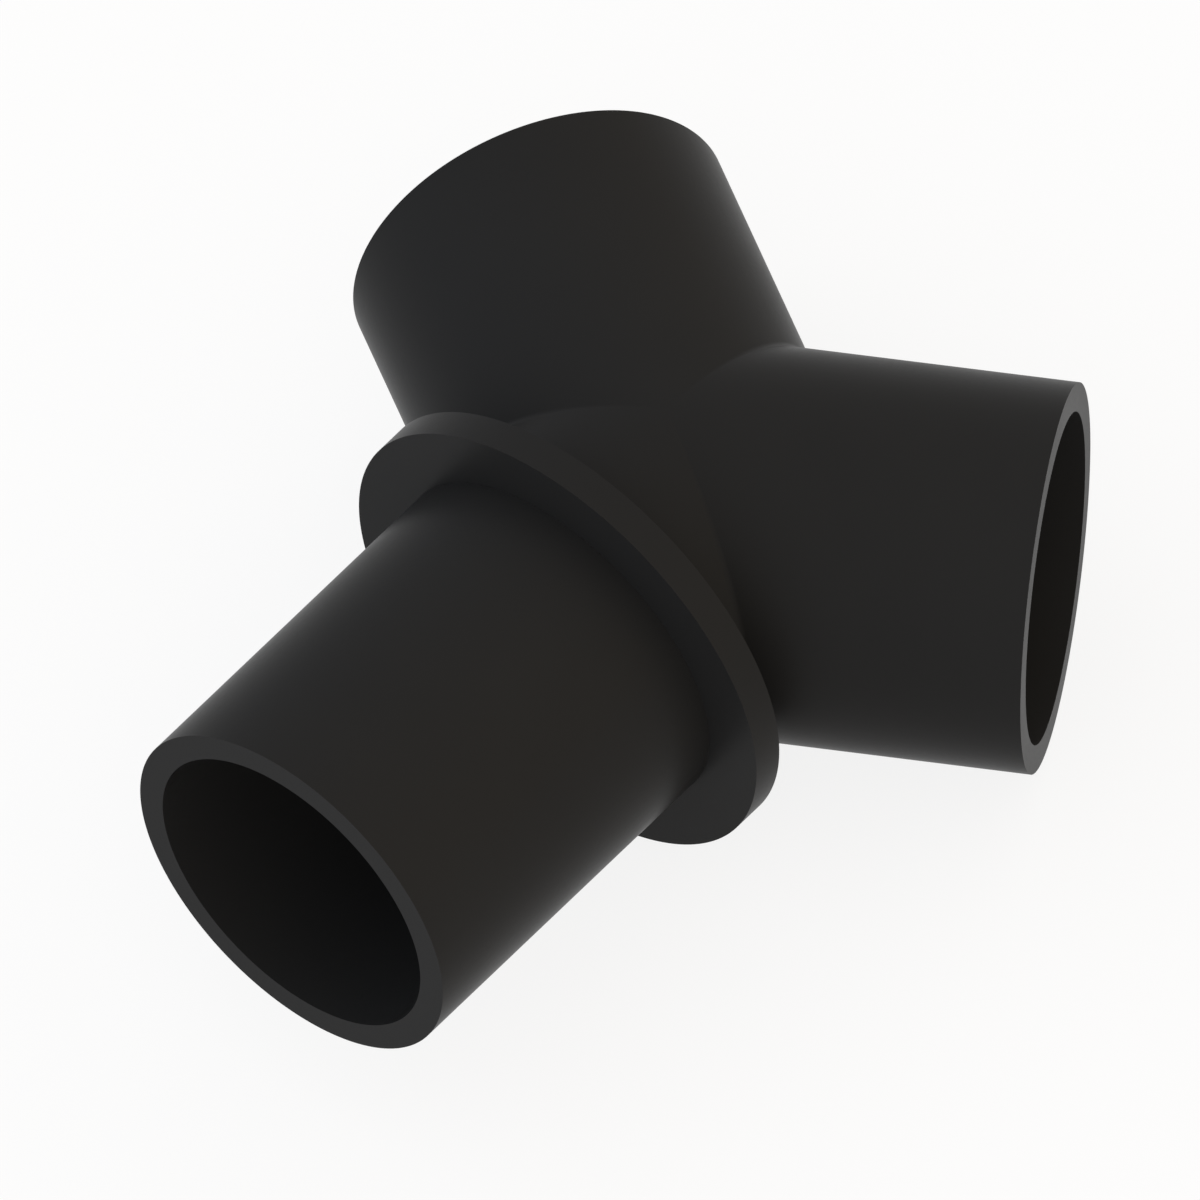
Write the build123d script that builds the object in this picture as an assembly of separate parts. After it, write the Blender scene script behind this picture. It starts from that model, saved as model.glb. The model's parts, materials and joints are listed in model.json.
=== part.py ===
from build123d import *
import math
import os

# Wye pipe fitting in one moulding: three equal tubes at 120 degrees in one plane, a collar on one of them.
# All sizes in millimetres and degrees.

# Driving dimensions
TUBE_OD = 33.5  # outside of all three legs
WALL = 2.5  # wall of the tubes, and so of the mouths
BRANCH_ANGLE = 120.0  # from the collared leg to each plain leg
PLAIN_LEG = 33.0  # junction to mouth, along the axis of a plain leg
COLLAR_SETBACK = 12.0  # junction to the collar's back face
COLLAR_THICK = 3.0
COLLAR_HEIGHT = 5.25  # how far the collar stands out from its tube
SPIGOT = 35.0  # collar's front face to the mouth of the collared leg
CROTCH_FILLET = 1.0  # small round in the outside crease where two tubes meet

# Worked out from them
tube_r = TUBE_OD / 2
bore_r = tube_r - WALL
collar_r = tube_r + COLLAR_HEIGHT
collared_leg = COLLAR_SETBACK + COLLAR_THICK + SPIGOT
leg_lengths = {0.0: collared_leg, BRANCH_ANGLE: PLAIN_LEG, -BRANCH_ANGLE: PLAIN_LEG}


def leg_frame(angle, along=0.0):
    """Plane across a leg, `along` its axis from the junction, whose normal points out of the leg.

    Its X points up, so a round surface has its seam on top, where the crotches end, and splits none of them.
    """
    outward = Vector(1, 0, 0).rotate(Axis.Z, angle)
    return Plane(origin=outward * along, x_dir=(0, 0, 1), z_dir=outward)


def three_rods(radius):
    """Three solid rods that meet in planar mitres at the junction, one along each leg to its mouth."""
    rods = [
        leg_frame(angle) * Cylinder(radius, length, align=(Align.CENTER, Align.CENTER, Align.MIN))
        for angle, length in leg_lengths.items()
    ]
    return rods[0] + rods[1:]


def collar():
    """Plain round collar, which stops a hose or a socket pushed over the spigot."""
    disc = Cylinder(collar_r, COLLAR_THICK, align=(Align.CENTER, Align.CENTER, Align.MIN))
    return leg_frame(0.0, COLLAR_SETBACK) * disc


def resting_tilt():
    """Angle by which the collared leg rises when the collar and both plain mouths touch the ground."""
    sine = math.sin(math.radians(BRANCH_ANGLE))
    reach = COLLAR_SETBACK - PLAIN_LEG * math.cos(math.radians(BRANCH_ANGLE))
    step = collar_r**2 - tube_r**2
    slope = step / (reach * collar_r + tube_r * math.sqrt(reach**2 + step * sine**2))
    return math.degrees(math.atan(slope))


def wye_body():
    tubes = three_rods(tube_r)
    crotches = tubes.edges().filter_by(GeomType.ELLIPSE)
    moulding = fillet(crotches, CROTCH_FILLET) + collar() - three_rods(bore_r)
    return moulding.rotate(Axis.Y, -resting_tilt())


def set_down(body):
    """Puts the origin on the ground under the middle of the part."""
    box = body.bounding_box()
    middle = (box.min + box.max) / 2
    return body.translate((-middle.X, -middle.Y, -box.min.Z))


os.makedirs("parts", exist_ok=True)
wye = set_down(wye_body())
wye.label = "wye_body"
export_step(wye, "parts/wye_body.step")
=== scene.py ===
import bpy
import json
import math
from mathutils import Matrix, Vector


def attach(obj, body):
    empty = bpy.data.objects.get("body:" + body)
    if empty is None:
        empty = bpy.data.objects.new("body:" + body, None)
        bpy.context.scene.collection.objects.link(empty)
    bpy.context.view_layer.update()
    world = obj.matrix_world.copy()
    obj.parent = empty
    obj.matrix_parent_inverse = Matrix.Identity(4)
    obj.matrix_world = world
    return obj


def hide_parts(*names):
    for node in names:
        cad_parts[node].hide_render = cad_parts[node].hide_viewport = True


# A black wye pipe fitting, moulded in one piece, on a white floor. Metres and degrees throughout.

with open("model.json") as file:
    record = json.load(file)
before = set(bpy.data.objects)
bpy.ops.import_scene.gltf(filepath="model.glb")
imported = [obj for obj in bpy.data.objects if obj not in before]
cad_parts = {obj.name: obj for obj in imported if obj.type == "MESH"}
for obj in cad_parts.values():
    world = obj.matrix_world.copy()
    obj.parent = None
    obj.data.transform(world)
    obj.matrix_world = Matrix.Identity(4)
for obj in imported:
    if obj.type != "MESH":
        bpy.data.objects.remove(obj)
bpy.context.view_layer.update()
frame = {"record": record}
mounts = {mount["name"]: mount for mount in frame["record"]["mounts"]}

# Sizes that the mounts don't hold
COLLAR_THICKNESS = 0.003
CROTCH_RADIUS = 0.001  # the small round in the outside crease where two tubes meet
HALF_BRANCH = 60.0  # from a leg to the plane in which it meets the next one

# Fineness of the moulding's mesh
SIDES = 240  # facets around each tube
CROTCH_STEPS = 8  # facets from a tube to the middle of the round
CRISP_ANGLE = 8.0  # an edge that turns more than this stays crisp
SAME_POINT = 2e-7  # points of two legs that lie nearer than this are one

# The camera looks down from between the collared leg and the left one, and is turned about its own axis
VIEW_AZIMUTH = 142.679
VIEW_ELEVATION = 58.742
VIEW_ROLL = -15.361
VIEW_WIDTH = 0.10159
VIEW_DISTANCE = 0.5
VIEW_NEAR = 0.01
VIEW_FAR = 5.0
JUNCTION_RIGHT = 0.006076  # the junction's place in the view, from its middle
JUNCTION_UP = 0.005867

# The black plastic
DEEP_BLACK = (0.0192, 0.0192, 0.0194, 1.0)
PALE_BLACK = (0.0218, 0.0218, 0.0218, 1.0)
SHEEN = 0.028  # far less than a polished plastic's
SATIN = 0.36  # its roughness, which the clouds and the grain shift a little
SATIN_CLOUD = 0.12
SATIN_GRAIN = 0.06
CLOUD_SCALE = 70.0  # per metre, so clouds of about 14 mm
CLOUD_DETAIL = 3.0
GRAIN_SCALE = 2600.0  # and grain of about 0.4 mm
GRAIN_DETAIL = 2.0
GRAIN_DEPTH = 0.00001
GRAIN_STRENGTH = 0.3

# The floor and the light
FLOOR_REACH = 3.0  # from its middle to each side
FLOOR_WHITE = (1.0, 1.0, 1.0, 1.0)
FLOOR_GLOW = 0.85  # how much of the shadow is taken off for the eye
SKY_LEVEL = 0.91
WARM_AZIMUTH = 215.0  # where the warm side of the light comes from
WARM_LIGHT = (1.18, 0.98, 0.72, 1.0)
COOL_LIGHT = (0.95, 1.00, 1.08, 1.0)


# Each mount's radius, length, direction and middle, in metres

def radius(mount):
    return mounts[mount]["dims"]["r_mm"] / 1000


def length(mount):
    return mounts[mount]["dims"]["length_mm"] / 1000


def axis(mount):
    return Vector(mounts[mount]["axis"]).normalized()


def middle(mount):
    return Vector(mounts[mount]["pos_m"])


def junction():
    """The point where the axes of the three legs meet."""
    return middle("collared_bore") - axis("collared_bore") * length("collared_bore") / 2


def legs_frame():
    """X along the collared leg, Y towards the left one and Z square to all three, from the junction."""
    forward = axis("collared_bore")
    upright = forward.cross(axis("left_bore")).normalized()
    turn = Matrix((forward, upright.cross(forward), upright)).transposed()
    return Matrix.Translation(junction()) @ turn.to_4x4()


class Wire:
    """A value that flows through a node tree. Arithmetic on it adds Math nodes."""

    def __init__(self, graph, socket):
        self.graph = graph
        self.socket = socket

    def maths(self, operation, *others):
        """A Math node that takes this value first."""
        return self.graph.maths(operation, self, *others)

    def __add__(self, other):
        return self.maths("ADD", other)

    def __sub__(self, other):
        return self.maths("SUBTRACT", other)

    def __rsub__(self, other):
        return self.graph.maths("SUBTRACT", other, self)

    def __mul__(self, other):
        return self.maths("MULTIPLY", other)

    def __truediv__(self, other):
        return self.maths("DIVIDE", other)

    def __pow__(self, other):
        return self.maths("POWER", other)

    __radd__ = __add__
    __rmul__ = __mul__


class Graph:
    """A node tree that is filled by code."""

    def __init__(self, tree):
        self.tree = tree
        tree.nodes.clear()

    def node(self, kind, settings=None, sockets=None, output=0):
        """Adds a node: its settings first, then a value, a link or a list of links for each socket."""
        made = self.tree.nodes.new(kind)
        for name, value in (settings or {}).items():
            setattr(made, name, value)
        for name, value in (sockets or {}).items():
            for each in value if isinstance(value, list) else [value]:
                if isinstance(each, Wire):
                    self.tree.links.new(each.socket, made.inputs[name])
                else:
                    made.inputs[name].default_value = each
        return Wire(self, made.outputs[output]) if made.outputs else None

    def maths(self, operation, *values):
        return self.node("ShaderNodeMath", {"operation": operation}, dict(enumerate(values)))

    def blend(self, factor, first, second):
        """A colour between two others. A Mix node has its colours on inputs 6 and 7 and output 2."""
        return self.node(
            "ShaderNodeMix", {"data_type": "RGBA"}, {0: factor, 6: first, 7: second}, output=2,
        )


class WyeTree(Graph):
    """The moulding as Geometry Nodes: each leg is a closed profile of rings, cut off where it meets its
    neighbours. Around a leg, side and up are the sine and cosine of the angle from its top."""

    def __init__(self, sizes):
        super().__init__(bpy.data.node_groups.new("wye_moulding", "GeometryNodeTree"))
        self.tree.interface.new_socket("Geometry", in_out="OUTPUT", socket_type="NodeSocketGeometry")
        self.sizes = {}
        kinds = {int: "NodeSocketInt", float: "NodeSocketFloat", bpy.types.Material: "NodeSocketMaterial"}
        for name, value in sizes.items():
            self.tree.interface.new_socket(name, in_out="INPUT", socket_type=kinds[type(value)])
            self.sizes[name] = self.node("NodeGroupInput", output=name)
        place = self.node("GeometryNodeInputPosition")
        across, self.along = [
            self.node("ShaderNodeSeparateXYZ", None, {0: place}, output=part) + 0.5 for part in ("X", "Y")
        ]
        turn = across * math.tau
        self.side, self.up = turn.maths("SINE"), turn.maths("COSINE")
        self.lean = self.side.maths("ABSOLUTE")

    def strip(self, rows, x, y, z):
        """A strip once around a leg, with its points at x along the leg, y to its side and z up."""
        flat = self.node("GeometryNodeMeshGrid", None, {
            "Size X": 1.0, "Size Y": 1.0, "Vertices X": self.sizes["Sides"] + 1, "Vertices Y": rows + 1,
        })
        place = self.node("ShaderNodeCombineXYZ", None, {"X": x, "Y": y, "Z": z})
        return self.node("GeometryNodeSetPosition", None, {"Geometry": flat, "Position": place})

    def mitre(self, ring_radius):
        """How far along the leg a ring of this radius meets the next leg."""
        return ring_radius * self.lean * (1 / math.tan(math.radians(HALF_BRANCH)))

    def band(self, near, far):
        """The strip between two rings, each given by its radius and its station along the leg."""
        ring_radius = near[0] + (far[0] - near[0]) * self.along
        station = near[1] + (far[1] - near[1]) * self.along
        return self.strip(1, station, ring_radius * self.side, ring_radius * self.up)

    def crotch(self):
        """Half of the round in the crease: the path of a ball that touches this tube and the next."""
        across, within = math.sin(math.radians(HALF_BRANCH)), math.cos(math.radians(HALF_BRANCH))
        ball = self.sizes["Crotch Radius"]
        reach = self.sizes["Tube Radius"] + ball
        grip = self.lean * within
        spread = (1 - grip * grip) ** 0.5
        turn = self.along * grip.maths("ARCSINE")
        swing = ball * turn.maths("SINE") / spread
        hold = reach - ball * turn.maths("COSINE")
        beside = self.side.maths("SIGN") * self.up * self.up
        return self.strip(
            self.sizes["Crotch Steps"],
            self.mitre(reach) - swing * across,
            hold * self.side + swing * beside * within,
            hold * self.up - swing * self.lean * self.up * within,
        )

    def leg(self, reach, steps=()):
        """One leg, from its bore's end round its mouth to the crease. Steps are rings on its outside."""
        sizes = self.sizes
        bore, tube = sizes["Bore Radius"], sizes["Tube Radius"]
        tangent = self.mitre(tube + sizes["Crotch Radius"])
        rings = [(bore, self.mitre(bore)), (bore, reach), (tube, reach), *steps, (tube, tangent)]
        bands = [self.band(near, far) for near, far in zip(rings, rings[1:])]
        return self.node("GeometryNodeJoinGeometry", None, {"Geometry": [*bands, self.crotch()]})

    def turned(self, leg, degrees):
        """The same leg, swung about the junction."""
        return self.node("GeometryNodeTransform", None, {
            "Geometry": leg, "Rotation": (0.0, 0.0, math.radians(degrees)),
        })

    def build(self):
        """Joins the three legs, closes the seams between them and picks the edges that stay crisp."""
        sizes = self.sizes
        tube, rim = sizes["Tube Radius"], sizes["Collar Radius"]
        front = sizes["Collar Front"]
        back = front - sizes["Collar Thickness"]
        collar = [(tube, front), (rim, front), (rim, back), (tube, back)]
        plain = self.leg(sizes["Plain Leg"])
        legs = [self.leg(sizes["Collared Leg"], collar)]
        legs += [self.turned(plain, turn * 2 * HALF_BRANCH) for turn in (1, -1)]
        joined = self.node("GeometryNodeJoinGeometry", None, {"Geometry": legs})
        closed = self.node("GeometryNodeMergeByDistance", None, {
            "Geometry": joined, "Distance": SAME_POINT,
        })
        smooth = self.node("GeometryNodeSetShadeSmooth", {"domain": "FACE"}, {"Geometry": closed})
        bend = self.node("GeometryNodeInputMeshEdgeAngle")
        crisp = self.node("GeometryNodeSetShadeSmooth", {"domain": "EDGE"}, {
            "Geometry": smooth, "Shade Smooth": False,
            "Selection": bend.maths("GREATER_THAN", math.radians(CRISP_ANGLE)),
        })
        real = self.node("GeometryNodeRealizeInstances", None, {"Geometry": crisp})
        skin = self.node("GeometryNodeSetMaterial", None, {
            "Geometry": real, "Material": sizes["Material"],
        })
        self.node("NodeGroupOutput", None, {"Geometry": skin})
        return self.tree


def wye_moulding(material):
    """The whole fitting, one closed skin, at the place of its node."""
    forward = axis("collared_bore")
    off_axis = middle("collar_face") - junction()
    front = off_axis.dot(forward)
    off_axis -= forward * front  # which ends half-way between the tube and the collar's rim
    sizes = {
        "Tube Radius": radius("spigot"),
        "Bore Radius": radius("collared_bore"),
        "Plain Leg": length("left_bore"),
        "Collared Leg": length("collared_bore"),
        "Collar Front": front,
        "Collar Thickness": COLLAR_THICKNESS,
        "Collar Radius": 2 * off_axis.length - radius("spigot"),
        "Crotch Radius": CROTCH_RADIUS,
        "Sides": SIDES,
        "Crotch Steps": CROTCH_STEPS,
        "Material": material,
    }
    tree = WyeTree(sizes).build()
    maker = bpy.data.objects.new("wye_maker", bpy.data.meshes.new("wye_maker"))
    bpy.context.collection.objects.link(maker)
    modifier = maker.modifiers.new("wye_moulding", "NODES")
    modifier.node_group = tree
    for item in tree.interface.items_tree:
        if item.in_out == "INPUT":
            modifier[item.identifier] = sizes[item.name]
    evaluated = maker.evaluated_get(bpy.context.evaluated_depsgraph_get())
    mesh = bpy.data.meshes.new_from_object(evaluated)
    bpy.data.objects.remove(maker)
    mesh.name = "wye_moulding"
    mesh.materials.pop(index=0)  # the bare strips came with an empty slot
    mesh.transform(legs_frame())
    moulding = bpy.data.objects.new("wye_moulding", mesh)
    bpy.context.collection.objects.link(moulding)
    return moulding


def black_moulding():
    """Black plastic as it leaves the mould: satin, faintly clouded, with a fine grain."""
    material = bpy.data.materials.new("black_moulding")
    material.use_nodes = True
    graph = Graph(material.node_tree)
    place = graph.node("ShaderNodeTexCoord", output="Object")
    cloud = graph.node("ShaderNodeTexNoise", None, {
        "Vector": place, "Scale": CLOUD_SCALE, "Detail": CLOUD_DETAIL,
    })
    grain = graph.node("ShaderNodeTexNoise", None, {
        "Vector": place, "Scale": GRAIN_SCALE, "Detail": GRAIN_DETAIL,
    })
    relief = graph.node("ShaderNodeBump", None, {
        "Strength": GRAIN_STRENGTH, "Distance": GRAIN_DEPTH, "Height": grain,
    })
    skin = graph.node("ShaderNodeBsdfPrincipled", None, {
        "Base Color": graph.blend(cloud, DEEP_BLACK, PALE_BLACK),
        "Roughness": SATIN + SATIN_CLOUD * (cloud - 0.5) + SATIN_GRAIN * (grain - 0.5),
        "Specular IOR Level": SHEEN,
        "Normal": relief,
    })
    graph.node("ShaderNodeOutputMaterial", None, {"Surface": skin})
    return material


def camera():
    """A view with no perspective, aimed a little to the side of the junction."""
    azimuth, elevation = math.radians(VIEW_AZIMUTH), math.radians(VIEW_ELEVATION)
    back = Vector((
        math.sin(azimuth) * math.cos(elevation),
        -math.cos(azimuth) * math.cos(elevation),
        math.sin(elevation),
    ))
    turn = (-back).to_track_quat("-Z", "Y").to_matrix() @ Matrix.Rotation(math.radians(VIEW_ROLL), 3, "Z")
    lens = bpy.data.cameras.new("camera")
    lens.type = "ORTHO"
    lens.ortho_scale = VIEW_WIDTH
    lens.clip_start, lens.clip_end = VIEW_NEAR, VIEW_FAR
    eye = bpy.data.objects.new("camera", lens)
    aim = junction() - JUNCTION_RIGHT * turn.col[0] - JUNCTION_UP * turn.col[1]
    eye.matrix_world = Matrix.Translation(aim + back * VIEW_DISTANCE) @ turn.to_4x4()
    bpy.context.collection.objects.link(eye)
    bpy.context.scene.camera = eye


def floor():
    """A wide white floor, where the eye sees the shadow thinned and reflections see plain white."""
    corners = [(x * FLOOR_REACH, y * FLOOR_REACH, 0.0) for x, y in ((-1, -1), (1, -1), (1, 1), (-1, 1))]
    mesh = bpy.data.meshes.new("floor")
    mesh.from_pydata(corners, [], [(0, 1, 2, 3)])
    material = bpy.data.materials.new("floor")
    material.use_nodes = True
    graph = Graph(material.node_tree)
    eye = graph.node("ShaderNodeLightPath", output="Is Camera Ray")
    glossy = graph.node("ShaderNodeLightPath", output="Is Glossy Ray")
    through = graph.node("ShaderNodeLightPath", output="Is Transmission Ray")
    glowing = FLOOR_GLOW * eye + glossy.maths("MAXIMUM", through)
    matt = graph.node("ShaderNodeBsdfDiffuse", None, {"Color": FLOOR_WHITE})
    glow = graph.node("ShaderNodeEmission", None, {"Color": FLOOR_WHITE, "Strength": 1.0})
    skin = graph.node("ShaderNodeMixShader", None, {"Fac": glowing, 1: matt, 2: glow})
    graph.node("ShaderNodeOutputMaterial", None, {"Surface": skin})
    mesh.materials.append(material)
    ground = bpy.data.objects.new("floor", mesh)
    bpy.context.collection.objects.link(ground)


def studio():
    """Even soft light from all around, a little warmer on one side."""
    world = bpy.data.worlds.new("studio")
    world.use_nodes = True
    graph = Graph(world.node_tree)
    warm_side = (math.sin(math.radians(WARM_AZIMUTH)), -math.cos(math.radians(WARM_AZIMUTH)), 0.0)
    towards = graph.node("ShaderNodeTexCoord", output="Generated")
    facing = graph.node("ShaderNodeVectorMath", {"operation": "DOT_PRODUCT"}, {
        0: towards, 1: warm_side,
    }, output="Value")
    warmth = (0.5 + 0.5 * facing) ** 2  # from 0 on the cool side to 1 on the warm one
    colour = graph.blend(warmth, COOL_LIGHT, WARM_LIGHT)
    light = graph.node("ShaderNodeBackground", None, {"Color": colour, "Strength": SKY_LEVEL})
    graph.node("ShaderNodeOutputWorld", None, {"Surface": light})
    bpy.context.scene.world = world


moulding = wye_moulding(black_moulding())
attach(moulding, "root")
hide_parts("wye_body")
floor()
studio()
camera()
bpy.context.scene.view_settings.view_transform = "Standard"
